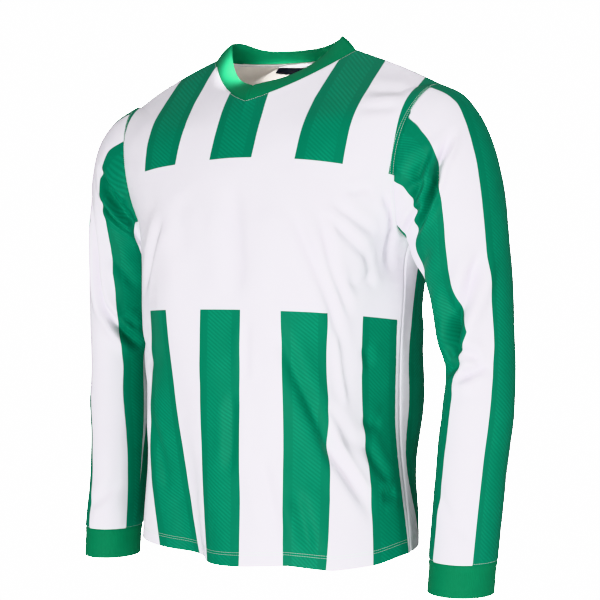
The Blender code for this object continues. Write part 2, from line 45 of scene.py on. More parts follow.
body = dict(
    panelHalf=0.273,          # centre line to side seam, along the cloth
    armpitRow=5, tipRow=9, neckRow=11,
    sideSteps=128, holeSteps=90, shoulderSteps=26, halfColumns=86,
    thick=0.0010,             # the knit
    hemThick=0.0019,          # two layers of it
    hemDeep=0.0183,           # height of the turned-up hem
    hemStep=0.0015,           # how gently it ends
    hemFold=1.8,              # how fast the fold at the edge closes the thickness
    sharpFrom=60,             # degrees between two faces from which an edge is crisp
    cornerReach=0.9,          # rows each way in which the edge's corners are rounded off
    archRows=2.5,             # rows above the armpit in which the plan turns to plain arcs
    seamShare=1.5, seamSnap=8)        # powers by which rows are pulled onto their seams

stripes = dict(
    wide=0.0585, bandLow=-0.3435, bandHigh=-0.151,
    bowNear=(0.20, 0.62), bowFar=(0.12, 0.40))       # droop of the band's lower and upper edges
# Millimetres that the sleeves' print is turned towards the front, by height: at the outer line,
# at the front, where folds have swallowed cloth, and more of it towards the underarm
sleeveTurn = dict(
    z=(-655, -600, -555, -480, -445, -408, -389, -370, -332, -294, -256, -218, -180, -161, -142,
       -123, -104, -85),
    leftOuter=(17, 19.5, 20.5, 18.5, 16.5, 14.5, 14.5, 14.5, 14.5, 14, 14, 14, 13, 12, 11, 8, 4, -2),
    leftFront=(9.5, 9.5, 9.5, 8.5, 6.5, 1, -12, -17, -4.5, 8, 14.5, 19, 20, 11, 8, 5, -5, -34),
    leftUnder=(0,)*9 + (6, 12, 14, 12) + (0,)*5,
    rightOuter=(8,)*18,
    rightFront=(25.5, 25, 24, 21, 18.5, 17, 18, 20, 21, 25, 34, 38, 28, 16, 11, 3, 0, 0),
    rightUnder=(0,)*9 + (4, 18, 24, 5) + (0,)*5,
    fromAngle=32, toAngle=62,       # between these angles the outer turn passes into the front one
    underFrom=105, underTo=140)     # and between these the underarm's is added
# Millimetres a panel's print has moved towards the near side, by place across and by row number
frontSlip = dict(
    at=(-0.205, -0.146, -0.088, -0.029, 0.029, 0.088, 0.146, 0.205, 0.263),
    rows=(0, 1, 2, 4, 7.5, 9, 10, 11),
    by=((0, -4, 8, -12.5, -5, -6, -9, -6, -6),
        (0, -8, 6, -9.5, -2.5, -4, -3.5, -4.5, -5),
        (0, -3, 4, -5.5, -2.5, -3.5, -3, -5.5, -4.5),
        (0, -1, -2, -0.5, 0.5, -2.8, -1.5, -6, -3),
        (-20, -6, -4, -5, 0.5, 1.8, 6, 5, 3),
        (-20, -11, -4, -5.5, 0, 2.5, 8, 9.5, 9.5),
        (-20, -15, -9, -6.5, -0.5, 2.5, 8.5, 11, 11),
        (-20, -15, -10, -7.5, -2.5, 8, 10, 11, 11)))
backSlip = dict(at=(0.100, 0.205, 0.263), rows=(0, 11), by=((0, -14, -20), (0, -14, -20)))
# How far the hem is lifted in millimetres, by cloth distance from the centre line
hemLift = dict(
    at=(-0.273, -0.060, -0.030, 0.000, 0.050, 0.088, 0.146, 0.205, 0.250, 0.273),
    front=(0, -1, -2, -1, 2, 3, -3.5, -1.5, 4.5, 7), back=(0, 0, 0, 0, 0, 1, 4, 8, 9, 7),
    reach=0.11)

frontRows = dict(
    centreZ=(-0.667, -0.585, -0.500, -0.420, -0.335, -0.255, -0.200, -0.160, -0.132, -0.112, -0.093, -0.072),
    centreY=(-0.154, -0.157, -0.160, -0.162, -0.163, -0.158, -0.149, -0.139, -0.128, -0.119, -0.111, -0.101),
    roundness=(2.05,)*7 + (2.00, 1.95, 1.90, 1.95, 2.05),
    wrap=(1.00,)*5 + (0.98, 0.95, 0.93, 0.93, 0.92, 0.84, 0.70),
    rise=(2.20,)*9 + (2.15, 2.20, 2.25),
    point=(0,)*10 + (0.22, 0.52))
# How much of the front-to-back distance the stripes count: the print runs straight up the flat
# panel, and the panel leans back over the shoulder
printTurn = (1.0, 1.0, 1.0, 1.0, 1.0, 1.0, 0.95, 0.85, 0.60, 0.30, 0.10, 0.0)
backRows = dict(
    centreZ=(-0.667, -0.580, -0.495, -0.410, -0.320, -0.235, -0.170, -0.115, -0.070, -0.038, -0.014, 0.004),
    centreY=(0.112, 0.112, 0.112, 0.116, 0.120, 0.122, 0.117, 0.109, 0.099, 0.089, 0.079, 0.070),
    roundness=(2.05,)*5 + (2.10,)*5 + (2.00, 1.90),
    wrap=(1.00,)*5 + (0.98, 0.95, 0.93, 0.93, 0.94, 0.96, 0.97),
    rise=(2.20,)*10 + (2.40, 2.60),
    point=(0,)*12)
# Heading of the cloth seen from above, in degrees, a stripe width apart along the row
frontHeadings = dict(
    far4=(-65, -72, -80, -76, -78, -78), far3=(-27, -42, -60, -38, -40, -50),
    far2=(9, 4, -9, -30, -36, -36), far1=(-56, -42, -31, -14, -3, -4),
    middle=(-9, -3, -1, 2, 0, 0), near1=(18, 9, 12, 5, 2, 4),
    near2=(12, 33, 44, 51, 36, 34), near3=(44, 53, 70, 67, 67, 60),
    near4=(70, 72, 66, 66, 69, 76))
backHeadings = dict(
    middle=(0, 0, 0, 0, 0, 0), out1=(-24, -8, 4, -1, -4, -7),
    out2=(-7, -3, 0, -8, -15, -14), out3=(-46, -45, -48, -45, -44, -38),
    out4=(-70, -84, -98, -90, -84, -78), out5=(-105, -113, -116, -111, -103, -97))
sideRows = dict(
    nearX=(0.206, 0.187, 0.172, 0.173, 0.186, 0.203), nearY=(-0.036, -0.008, 0.008, 0.003, -0.010, -0.006),
    farX=(0.207, 0.197, 0.178, 0.196, 0.197, 0.203), farY=(-0.026, -0.014, -0.004, -0.014, -0.014, -0.006),
    z=(-0.657, -0.576, -0.490, -0.410, -0.325, -0.250))
shoulderRows = dict(x=(0.235, 0.174, 0.110), y=(-0.006, -0.005, 0.000), z=(-0.056, -0.026, 0.000))
armhole = dict(tipX=0.235, tipZ=-0.056, pitX=0.203, pitZ=-0.250, y=-0.006,
               frontDepth=0.068, backDepth=0.074, nearScoop=0.017, farScoop=0.006, backScoop=0.010)
sleeveRows = dict(
    outerX=(0.235, 0.262, 0.284, 0.300, 0.311, 0.318, 0.323, 0.325, 0.326, 0.325, 0.321, 0.3175, 0.315),
    outerZ=(-0.056, -0.071, -0.099, -0.137, -0.185, -0.240, -0.305,
            -0.360, -0.420, -0.475, -0.530, -0.595, -0.655),
    innerX=(0.203, 0.206, 0.209, 0.212, 0.215, 0.219, 0.223, 0.229, 0.239, 0.236, 0.232, 0.2305, 0.229),
    innerZ=(-0.250, -0.253, -0.258, -0.266, -0.280, -0.302, -0.335,
            -0.375, -0.420, -0.472, -0.530, -0.595, -0.655),
    centreY=(-0.006, -0.004, -0.002, -0.001, 0.000, 0.001, 0.003,
             0.006, 0.007, 0.004, -0.003, -0.013, -0.025),
    depth=(0.071, 0.072, 0.071, 0.069, 0.066, 0.063, 0.059, 0.055, 0.051, 0.051, 0.050, 0.048, 0.046),
    scoop=(1.00, 0.66, 0.33, 0.10) + (0,)*9,
    slimmer=(0.000, -0.006, -0.008, -0.003, 0.003, 0.006, 0.007,
             0.005, 0.008, 0.006, 0.009, 0.0095, 0.009))
cuffRows = dict(
    outerX=(0.3150, 0.3135, 0.3130, 0.3125), outerZ=(-0.655, -0.665, -0.680, -0.695),
    innerX=(0.2290, 0.2300, 0.2295, 0.2290), innerZ=(-0.655, -0.665, -0.680, -0.695),
    centreY=(-0.025, -0.0265, -0.0285, -0.0305), depth=(0.046, 0.0445, 0.0440, 0.0435),
    scoop=(0,)*4, slimmer=(0.009,)*4)
collarEdge = dict(front=dict(y=-0.083, z=-0.050, roundness=1.32, rise=3.50, wrap=0.985, point=0.38),
                  back=dict(y=0.055, z=0.018, roundness=2.00, rise=2.00, wrap=0.995, point=0.00))
collarSide = dict(x=0.086, y=0.005, z=0.020)
collarLift = dict(x=-0.084, y=0.024, high=0.0075, reach=0.024)       # the edge stands up here

# Small moves of the cloth in space: the centre, how far it reaches and the move
nudges = dict(
    nearPit=((0.204, -0.036, -0.268), 0.042, (-0.024, 0.012, 0.0)),
    nearFlank=((0.180, 0.090, -0.555), 0.075, (-0.016, 0.0, 0.0)),
    farShoulder=((-0.130, -0.010, -0.015), 0.070, (0.0, 0.0, 0.0050)),
    farTip=((-0.205, -0.010, -0.045), 0.035, (0.0, 0.0, 0.0030)),
    nearCollar=((0.068, 0.030, 0.020), 0.030, (0.0, 0.0, 0.0045)))

# Creases. Each has its width and depth in millimetres, a ridge where the depth is positive, and
# its path: cloth distance from the centre line and height in millimetres, or on a sleeve the
# angle in degrees (0 outer line, 90 front, 180 underarm) and the height.
frontCreases = dict(
    chestInner=(6.5, -5, (78, -206), (101, -233), (115, -262), (133, -300), (148, -333), (161, -371),
                (178, -412)),
    chestOuter=(6, -4.4, (120, -208), (138, -248), (150, -294), (167, -330), (180, -360)),
    chestHigh=(6, -3.4, (138, -206), (166, -226), (194, -241), (218, -249)),
    chestMid=(6, -3.4, (146, -234), (164, -249), (182, -264), (212, -284)),
    chestLow=(6, -2.2, (131, -225), (150, -237), (166, -249)),
    chestDent=(7, -2.8, (166, -304), (190, -313), (216, -300)),
    chestShort=(7, -2.2, (196, -262), (208, -296), (214, -326)),
    armholeFold=(5, -6, (204, -196), (228, -221), (247, -243)),
    armholeHigh=(5.5, -2.6, (158, -200), (193, -191)),
    pitTuck=(7, -4.5, (238, -228), (252, -252), (252, -300)),
    shoulderLow=(6, -2.2, (160, -92), (226, -90)),
    shoulderHigh=(7, -2.2, (170, -66), (236, -68)),
    longDiagonal=(9, -7.6, (52, -334), (85, -384), (106, -431), (131, -484), (148, -520), (172, -553),
                  (191, -584), (206, -616)),
    diagonalLip=(5, 3.2, (142, -494), (161, -520), (186, -556), (200, -576)),
    bellyDark=(8, -3.6, (138, -452), (153, -478), (169, -501), (186, -526)),
    bellyRidge=(5, 2.4, (155, -360), (163, -420), (174, -474)),
    dentHigh=(8, -2.6, (203, -388), (217, -422)),
    dentLow=(8, -3.4, (196, -482), (214, -490), (234, -492)),
    nearDiagonal=(7.5, -4, (198, -508), (218, -542), (238, -566)),
    nearHem=(7, -4.2, (218, -582), (248, -577)),
    farChest=(9, -4.4, (-98, -218), (-118, -248), (-148, -285), (-178, -328)),
    centreChest=(11, -5.6, (4, -180), (18, -257), (27, -341)),
    chestSwell=(20, 2.8, (59, -200), (62, -336)),
    farSwell=(17, 2.6, (-22, -200), (-7, -336)),
    farSoft=(14, -2.6, (-73, -190), (-60, -290)),
    bellyLine=(6, -3, (38, -352), (36, -440)),
    bellyMiddle=(8, -4, (16, -440), (15, -500), (10, -556)),
    hemNear=(9, -5.2, (96, -560), (108, -606), (120, -655)),
    hemCross=(10, -5.4, (54, -522), (66, -575), (82, -640)),
    farWaist=(9, -4, (-214, -372), (-180, -404), (-142, -424)),
    farHem=(10, -4, (-150, -470), (-128, -540), (-122, -600)))
backCreases = dict(
    bladeNear=(11, -4.6, (112, -120), (140, -200), (168, -300)),
    bladeFar=(11, -4.6, (-116, -126), (-142, -210), (-165, -290)),
    pitNear=(8, -3.8, (236, -226), (206, -262), (168, -330)),
    pitFar=(8, -3.6, (-238, -230), (-205, -270), (-172, -322)),
    waistNear=(11, -4.4, (206, -330), (160, -372), (106, -404)),
    waistFar=(11, 4.2, (-210, -316), (-166, -366), (-116, -420)),
    smallNear=(12, -4, (52, -410), (100, -468), (152, -560)),
    smallFar=(11, 3.6, (-76, -430), (-120, -510), (-160, -604)),
    spine=(18, -2.6, (-4, -90), (4, -220), (-6, -390)),
    yoke=(10, -2.2, (-90, -52), (10, -60), (96, -50)),
    hemFold=(13, -3.2, (-30, -520), (-12, -640)))
sleeveCreases = dict(
    left=dict(
        capDent=(3.4, -9, (66, -138), (86, -166), (108, -194)),
        capLine=(3, -17, (42, -118), (62, -146), (76, -167), (88, -190), (108, -220), (140, -262)),
        capSpot=(2.6, -8, (90, -180), (105, -198), (120, -216)),
        pitFold=(2.4, -6.5, (94, -196), (118, -220), (136, -236), (162, -256)),
        pitLow=(7, -4, (112, -262), (136, -286), (160, -312)),
        elbowWedge=(8, -15, (42, -262), (55, -288), (66, -312), (82, -342), (97, -367), (108, -390),
                    (116, -404)),
        elbowHollow=(12, -13, (98, -310), (106, -366), (116, -424)),
        elbowPinch=(6, -6, (80, -408), (100, -409), (118, -417), (150, -424)),
        elbowSpot=(7, -9, (104, -388), (84, -398), (58, -406)),
        elbowCross=(6, -9, (108, -428), (82, -421), (46, -410)),
        elbowLip=(7, 3, (70, -436), (96, -438), (124, -442)),
        elbowBack=(9, -4.6, (-160, -402), (-118, -376), (-72, -362)),
        upperBack=(10, -4.4, (-150, -270), (-112, -214), (-76, -150)),
        forearm=(9, -3, (-150, -520), (-110, -560), (-64, -574)),
        wrist=(8, -2.6, (132, -560), (90, -604), (52, -622))),
    right=dict(
        capHigh=(2.4, -10, (64, -140), (98, -181), (126, -208)),
        capMid=(2.8, -14, (66, -148), (95, -184), (118, -211), (138, -232), (160, -258)),
        capLow=(2.2, -10, (96, -186), (122, -209), (134, -222), (158, -246)),
        pitLow=(2.4, -6, (86, -190), (112, -218), (148, -246)),
        pitEnd=(8, -3.6, (104, -264), (130, -290), (156, -320)),
        elbowLong=(6, -10.5, (52, -170), (66, -214), (78, -258), (84, -303), (93, -337), (112, -358),
                   (136, -379), (160, -393), (178, -402)),
        elbowCross=(6, -5, (118, -350), (136, -360), (160, -374)),
        elbowLip=(7, 2.8, (92, -366), (124, -390), (156, -412)),
        elbowBack=(9, -4.4, (-156, -398), (-114, -372), (-70, -356)),
        upperBack=(10, -4.2, (-146, -262), (-110, -208), (-74, -146)),
        forearm=(9, -3, (-146, -500), (-108, -548), (-62, -560)),
        wrist=(8, -2.4, (140, -584), (98, -612), (60, -626))))
creaseForm = dict(
    lip=0.36, away=2.1, wider=1.25,        # the swell on both sides of a crease
    ends=0.3,                              # share of its path in which it grows to full depth
    bodyScale=0.001,                       # metres across the body for each millimetre
    armScale=0.055*np.pi/180)              # metres round a sleeve for each degree
# Distances from each seam in which creases start, and the height and size of random swells
calm = dict(side=0.012, neck=0.016, armhole=0.014, cuff=0.012)
uneven = dict(panel=((0.0011, 0.070), (0.0005, 0.026)), sleeve=((0.0010, 0.060), (0.0005, 0.024)))

seamCut = dict(deep=0.0011, wide=0.0016, power=1.5,     # the groove
               pucker=0.00025, reach=0.007,             # the puckers beside it
               waves=((0.013, 1.0, 0.0), (0.00819, 0.6, 1.7)))    # their pitch, share and start


def smooth(values, t):
    # A curve through a column's values, one apart, going straight on past its ends
    v = np.asarray(values, float)
    v = np.concatenate([[2*v[0] - v[1]], v, [2*v[-1] - v[-2]]])
    t = np.asarray(t, float)
    i = np.clip(np.floor(t).astype(int), 0, len(v) - 4)
    f = t - i
    a, b, c, d = v[i], v[i + 1], v[i + 2], v[i + 3]
    return 0.5*(2*b + (c - a)*f + (2*a - 5*b + 4*c - d)*f**2 + (3*b - a - 3*c + d)*f**3)


def unit(v):
    return v/(np.linalg.norm(v, axis=-1, keepdims=True) + 1e-12)


def fade(x):
    x = np.clip(x, 0, 1)          # 0 to 1 with flat ends
    return x*x*(3 - 2*x)


def nudged(p):
    # Moves the cloth by each nudge, less and less away from its centre, whatever piece it is on
    for centre, reach, move in nudges.values():
        share = np.exp(-((p - centre)**2).sum(-1)/reach**2)
        p = p + share[..., None]*np.array(move)
    return p


def armholePoint(phi, hand):
    # An egg scooped in at its sides. phi is 0 at the shoulder tip and +pi/2 in front.
    a, c, s = armhole, np.cos(phi), np.sin(phi)
    depth = np.where(s >= 0, a["frontDepth"], a["backDepth"])
    frontScoop = a["nearScoop"] if hand > 0 else a["farScoop"]
    scoop = np.where(s >= 0, frontScoop, a["backScoop"])*np.abs(s)**1.3
    x = (a["tipX"] + a["pitX"])/2 + (a["tipX"] - a["pitX"])/2*c - scoop
    z = (a["tipZ"] + a["pitZ"])/2 + (a["tipZ"] - a["pitZ"])/2*c
    return np.stack([hand*x, a["y"] - depth*s, z], -1)


def armholeAngle(t):
    low, high = body["armpitRow"], body["tipRow"]
    return np.pi*(1 - (np.clip(t, low, high) - low)/(high - low))


def edgePoint(t, hand, side):
    # A panel's edge at row t: side seam, then armhole, then shoulder seam
    which = "near" if hand > 0 else "far"
    seam = np.stack([hand*smooth(sideRows[which + "X"], t), smooth(sideRows[which + "Y"], t),
                     smooth(sideRows["z"], t)], -1)
    hole = armholePoint(side*armholeAngle(t), hand)
    s = t - body["tipRow"]
    top = np.stack([hand*smooth(shoulderRows["x"], s), smooth(shoulderRows["y"], s),
                    smooth(shoulderRows["z"], s)], -1)
    low, high = (t <= body["armpitRow"])[..., None], (t >= body["tipRow"])[..., None]
    return np.where(low, seam, np.where(high, top, hole))


def softEdge(t, hand, side, taps=9):
    # The same edge with its corners rounded off by averaging, for the rows inside to follow
    total = 0
    for shift in np.linspace(-body["cornerReach"], body["cornerReach"], taps):
        s = t + shift
        held = np.clip(s, 0, body["neckRow"])
        inside = edgePoint(held, hand, side)
        beyond = 2*inside - edgePoint(2*held - s, hand, side)
        total = total + np.where((s != held)[..., None], beyond, inside)
    return total/taps


def arcShares(u, n, m, k, point):
    # Shares sideways, back and up from an arc's centre to its edge, for shares u of its turn: a
    # superellipse of power n in plan and a power m in height, mixed with straight lines for a point
    s = np.sin(u*np.arcsin(k))/k
    bend = (1 - (1 - np.minimum(s*k, 1)**n)**(1/n))/(1 - (1 - k**n)**(1/n))
    return s, point*s + (1 - point)*bend, point*s + (1 - point)*s**m


def arcRows(t, u, rows, edges):
    # Rows as superellipse arcs from the centre line to the edge on each side
    T, U = np.meshgrid(t, u, indexing="ij")
    k = np.minimum(smooth(rows["wrap"], T), 1)
    n, m = smooth(rows["roundness"], T), smooth(rows["rise"], T)
    cy, cz = smooth(rows["centreY"], T), smooth(rows["centreZ"], T)
    edge = np.where((U < 0)[..., None], edges[-1][:, None, :], edges[1][:, None, :])
    s, bend, lift = arcShares(np.abs(U), n, m, k, smooth(rows["point"], T))
    return np.stack([edge[..., 0]*s, cy + (edge[..., 1] - cy)*bend, cz + (edge[..., 2] - cz)*lift], -1)


def walkOut(headings, reach, u):
    # Plan of one half row: walk from the centre along the headings, read at shares of reach
    steps = np.linspace(0, 1.1*body["panelHalf"], 240)
    angle = np.radians(np.interp(steps, np.arange(len(headings))*stripes["wide"], headings))
    gap = steps[1]
    path = [np.concatenate([[0], np.cumsum((f[1:] + f[:-1])/2*gap)])
            for f in (np.cos(angle), np.sin(angle))]
    q = np.append(np.abs(u), 1)*reach
    return [np.interp(q, steps, p) for p in path]


def walkRows(t, u, side, rows, edges, reach):
    # Plan of every row, each half brought onto its seam by a share that grows outwards
    plan = np.zeros((len(t), len(u), 2))
    share = np.abs(u)**body["seamShare"]
    table = np.stack([smooth(c, np.minimum(t, body["armpitRow"]))
                      for c in (frontHeadings if side > 0 else backHeadings).values()], -1)
    middle = table.shape[1]//2 if side > 0 else 0
    for i, row in enumerate(table):
        cy = smooth(rows["centreY"], t[i])
        for hand in (-1, 1):
            headings = row[middle:]
            if side > 0 and hand < 0:
                headings = -row[middle::-1]
            x, y = walkOut(headings, reach[hand][i], u)
            missX = abs(edges[hand][i, 0]) - x[-1]
            missY = edges[hand][i, 1] - cy - y[-1]
            half = u < 0 if hand < 0 else u >= 0
            plan[i, half, 0] = (hand*(x[:-1] + share*missX))[half]
            plan[i, half, 1] = (cy + y[:-1] + share*missY)[half]
    return plan


def bodyGrid(t, u, side):
    # Front (side 1) or back (side -1) panel at rows t and columns u
    rows = frontRows if side > 0 else backRows
    soft = {h: softEdge(t, h, side) for h in (-1, 1)}
    hard = {h: edgePoint(t, h, side) for h in (-1, 1)}
    p = arcRows(t, u, rows, soft)
    blend = fade((t - body["armpitRow"])/body["archRows"])
    reach = {}
    for h in (-1, 1):
        tt = np.append(t, float(body["armpitRow"]))
        edges = {k: softEdge(tt, k, side) for k in (-1, 1)}
        arcs = arcRows(tt, h*np.linspace(0, 1, 60), rows, edges)[..., :2]
        length = np.linalg.norm(np.diff(arcs, axis=1), axis=-1).sum(1)
        reach[h] = body["panelHalf"]*np.where(t <= body["armpitRow"], 1, length[:-1]/length[-1])
    plan = walkRows(t, u, side, rows, soft, reach)
    p[..., :2] = blend[:, None, None]*p[..., :2] + (1 - blend)[:, None, None]*plan
    miss = np.where((u < 0)[None, :, None], (hard[-1] - soft[-1])[:, None], (hard[1] - soft[1])[:, None])
    return p + (np.abs(u)**body["seamSnap"])[None, :, None]*miss


def tubeGrid(t, phi, hand, rows):
    # Rings of a sleeve or cuff as ellipses. Ring 0 of a sleeve is the armhole itself.
    T, F = np.meshgrid(t, phi, indexing="ij")
    slim = smooth(rows["slimmer"], T) if hand < 0 else 0
    xo, xi = smooth(rows["outerX"], T) - slim, smooth(rows["innerX"], T)
    zo, zi = smooth(rows["outerZ"], T), smooth(rows["innerZ"], T)
    c = np.cos(F)
    p = np.stack([hand*((xo + xi)/2 + (xo - xi)/2*c),
                  smooth(rows["centreY"], T) - smooth(rows["depth"], T)*np.sin(F),
                  (zo + zi)/2 + (zo - zi)/2*c], -1)
    share = smooth(rows["scoop"], T)[..., None]
    if np.any(share > 0):
        first = tubeGrid(np.zeros(1), phi, hand, dict(rows, scoop=(0, 0, 0)))
        p = p + share*(armholePoint(phi, hand)[None] - first)
    return p


def gridNormals(p, closed):
    # Outward normals: across the columns, crossed with up the rows
    across = np.roll(p, -1, 1) - np.roll(p, 1, 1) if closed else np.gradient(p, axis=1)
    return unit(np.cross(across, np.gradient(p, axis=0)))


def creaseDepth(across, z, creases, scale):
    # Each crease is a smooth curve through its points. A point's height is a bell of its distance
    # to the curve less a lower, wider bell on both sides, and fades out towards the curve's ends.
    form = creaseForm
    total = np.zeros(across.shape)
    for width, depth, *path in creases.values():
        path = np.array(path)*(scale, 0.001)
        steps = np.linspace(0, len(path) - 1, 8*(len(path) - 1) + 1)
        line = np.stack([smooth(path[:, 0], steps), smooth(path[:, 1], steps)], -1)
        best = np.full(across.shape, 1e9)
        along = np.zeros(across.shape)
        for k, (a, b) in enumerate(zip(line[:-1], line[1:])):
            d = b - a
            f = np.clip(((across - a[0])*d[0] + (z - a[1])*d[1])/(d @ d), 0, 1)
            gap = np.hypot(across - a[0] - f*d[0], z - a[1] - f*d[1])
            along = np.where(gap < best, (k + f)/(len(line) - 1), along)
            best = np.minimum(gap, best)
        w = width/1000
        lip = form["lip"]*np.exp(-((best - form["away"]*w)/(form["wider"]*w))**2)
        ends = fade(along/form["ends"])*fade((1 - along)/form["ends"])
        total += depth/1000*(np.exp(-(best/w)**2) - lip)*ends
    return total


def softNoise(p, size, seed):
    # Random heights on a lattice of that size, blended smoothly between its points: -1 to 1
    lattice = np.random.default_rng(seed).uniform(-1, 1, (24, 24, 24))
    q = p/size
    i = np.floor(q).astype(int)
    f = fade(q - i)
    total = 0
    for corner in np.ndindex(2, 2, 2):
        share = np.prod(np.where(corner, f, 1 - f), -1)
        at = (i + corner) % 24
        total = total + share*lattice[at[..., 0], at[..., 1], at[..., 2]]
    return total


def runRound(p):
    # Distance round closed rows, back to their first point
    return runLength(np.concatenate([p, p[:, :1]], 1), 1)


def unevenCloth(p, kind, seed):
    # Two layers of soft random swells, the second finer
    return sum(high*softNoise(p, size, seed + k) for k, (high, size) in enumerate(uneven[kind]))


def runLength(p, axis):
    # Distance along the rows (axis 1) or the columns (axis 0) from their first point
    d = np.linalg.norm(np.diff(p, axis=axis), axis=-1)
    start = [1, 1]
    start[1 - axis] = d.shape[1 - axis]
    return np.concatenate([np.zeros(start), np.cumsum(d, axis)], axis)


def panelRows():
    b = body
    low, mid, top = b["armpitRow"], b["tipRow"], b["neckRow"]
    return np.unique(np.concatenate([
        np.linspace(0, low, b["sideSteps"] + 1), (0.003, 0.009, 0.018),
        np.linspace(low, mid, b["holeSteps"] + 1),
        np.linspace(mid, top, b["shoulderSteps"] + 1), top - np.array((0.010, 0.025, 0.045))]))


def panelColumns():
    half = np.linspace(0, 1, body["halfColumns"] + 1)
    half = np.unique(np.concatenate([half, (0.004,), 1 - np.array((0.003, 0.007))]))
    return np.concatenate([-half[:0:-1], half])


def seamGroove(distance):
    # A groove where the cloth turns in at a seam
    return -seamCut["deep"]*np.exp(-(distance/seamCut["wide"])**seamCut["power"])


def seamRelief(distance, along):
    # The groove, and puckers of two pitches that swell and die away beside it
    away = distance/seamCut["reach"]
    wave = sum(share*np.sin(2*np.pi*along/pitch + start) for pitch, share, start in seamCut["waves"])
    return seamGroove(distance) + seamCut["pucker"]*wave*away*np.exp(1 - away)


def makePanel(side, creases, seed):
    t, u = panelRows(), panelColumns()
    p = nudged(bodyGrid(t, u, side))
    n = gridNormals(p, False)*side
    q = runLength(p, 1)
    across = q - q[:, [len(u)//2]]
    flat = p*np.stack([np.ones(len(t)), smooth(printTurn, t), np.zeros(len(t))], -1)[:, None]
    printed = runLength(flat, 1)
    printed = slipped(printed - printed[:, [len(u)//2]], t, frontSlip if side > 0 else backSlip)
    low, high = stripes["bandLow"], stripes["bandHigh"]
    part = np.clip((p[..., 2] - low)/(high - low), 0, 1.2)
    bow = [b[0] + (b[1] - b[0])*part for b in (stripes["bowNear"], stripes["bowFar"])]
    printZ = p[..., 2] + np.where(printed > 0, bow[0], bow[1])*printed**2*(side > 0)
    edge = np.minimum(q, q[:, -1:] - q)
    fromNeck = runLength(p[::-1], 0)[::-1]
    hold = fade(edge/calm["side"])*fade(fromNeck/calm["neck"])
    rise = creaseDepth(across, p[..., 2], creases, creaseForm["bodyScale"]) + unevenCloth(p, "panel", seed)
    p = p + (rise*hold)[..., None]*n
    fromHem = runLength(p, 0)
    lift = np.interp(across, hemLift["at"], hemLift["front" if side > 0 else "back"])/1000
    p[..., 2] += lift*fade(1 - fromHem/hemLift["reach"])
    n = gridNormals(p, False)*side
    return dict(p=p, n=n, across=across, printed=printed, printZ=printZ, edge=edge, fromNeck=fromNeck,
                fromHem=runLength(p, 0), t=t, closed=False)


def sleevePrint(z, across, phi, name):
    # The print's place round the arm: cloth distance from the outer line, less the local turn
    turn = sleeveTurn
    outer, front, under = (np.interp(z*1000, turn["z"], turn[name + part])/1000
                           for part in ("Outer", "Front", "Under"))
    angle = np.degrees(np.append(phi, 2*phi[-1] - phi[-2]))
    share = fade((angle - turn["fromAngle"])/(turn["toAngle"] - turn["fromAngle"]))
    low = fade((angle - turn["underFrom"])/(turn["underTo"] - turn["underFrom"]))
    return across - outer - (front - outer)*share - under*low


def slipped(printed, t, table):
    # The print's place less how far it has moved there, read between the table's rows
    rows = np.stack([np.interp(printed, table["at"], row) for row in table["by"]])
    place = np.interp(t, table["rows"], np.arange(len(rows)))
    low = np.minimum(place.astype(int), len(rows) - 2)
    share = (place - low)[:, None]
    i = np.arange(len(t))
    return printed - (rows[low, i]*(1 - share) + rows[low + 1, i]*share)/1000


def makeTube(hand, rows, rings, phi, creases, seed):
    p = nudged(tubeGrid(rings, phi, hand, rows))
    p, phi = p[:, ::hand], phi[::hand]
    n = gridNormals(p, True)
    run = runRound(p)
    across = (run - run[:, [int(np.argmin(np.abs(phi)))]])*hand
    top, end = runLength(p, 0), runLength(p[::-1], 0)[::-1]
    z = p[..., 2].copy()
    if creases:
        scale = creaseForm["armScale"]
        angle = np.degrees(phi)[None, :]*np.ones((len(rings), 1))
        hold = fade(top/calm["armhole"])*fade(end/calm["cuff"])
        rise = creaseDepth(angle*scale, z, creases, scale) + unevenCloth(p, "sleeve", seed)
        p = p + (rise*hold)[..., None]*n
        n = gridNormals(p, True)
    return dict(p=p, n=n, across=across, z=z, top=top, end=end, phi=phi, closed=True)


def sleevePhi():
    angles = armholeAngle(np.linspace(body["armpitRow"], body["tipRow"], body["holeSteps"] + 1))
    return np.concatenate([-angles[:-1], angles[::-1][:-1]])


def shareNormals(*places):
    # Pieces that meet at a seam get one normal there
    mean = unit(sum(piece["n"][i, j] for piece, i, j in places))
    for piece, i, j in places:
        piece["n"][i, j] = mean


def joinSeams(front, back, sleeves, cuffs):
    t = front["t"]
    low, high = body["armpitRow"], body["tipRow"]
    plain = np.flatnonzero((t < low) | (t > high))
    hole = np.flatnonzero((t >= low) & (t <= high))
    for hand, column in ((1, -1), (-1, 0)):
        shareNormals((front, plain, column), (back, plain, column))
        sleeve = sleeves[hand]
        for panel, side in ((front, 1), (back, -1)):
            k = np.round((side*armholeAngle(t[hole]) + np.pi)/(2*np.pi)*len(sleeve["phi"])).astype(int)
            k = k % len(sleeve["phi"])
            k = k if hand > 0 else len(sleeve["phi"]) - 1 - k
            shareNormals((panel, hole, column), (sleeve, 0, k))
        ends = np.arange(len(sleeve["phi"]))
        shareNormals((sleeve, -1, ends), (cuffs[hand], 0, ends))
        pit, tip = hole[0], hole[-1]
        for i, k in ((pit, -np.pi), (tip, 0.0)):
            j = int(np.argmin(np.abs(sleeve["phi"] - k)))
            shareNormals((front, i, column), (back, i, column), (sleeve, 0, j))


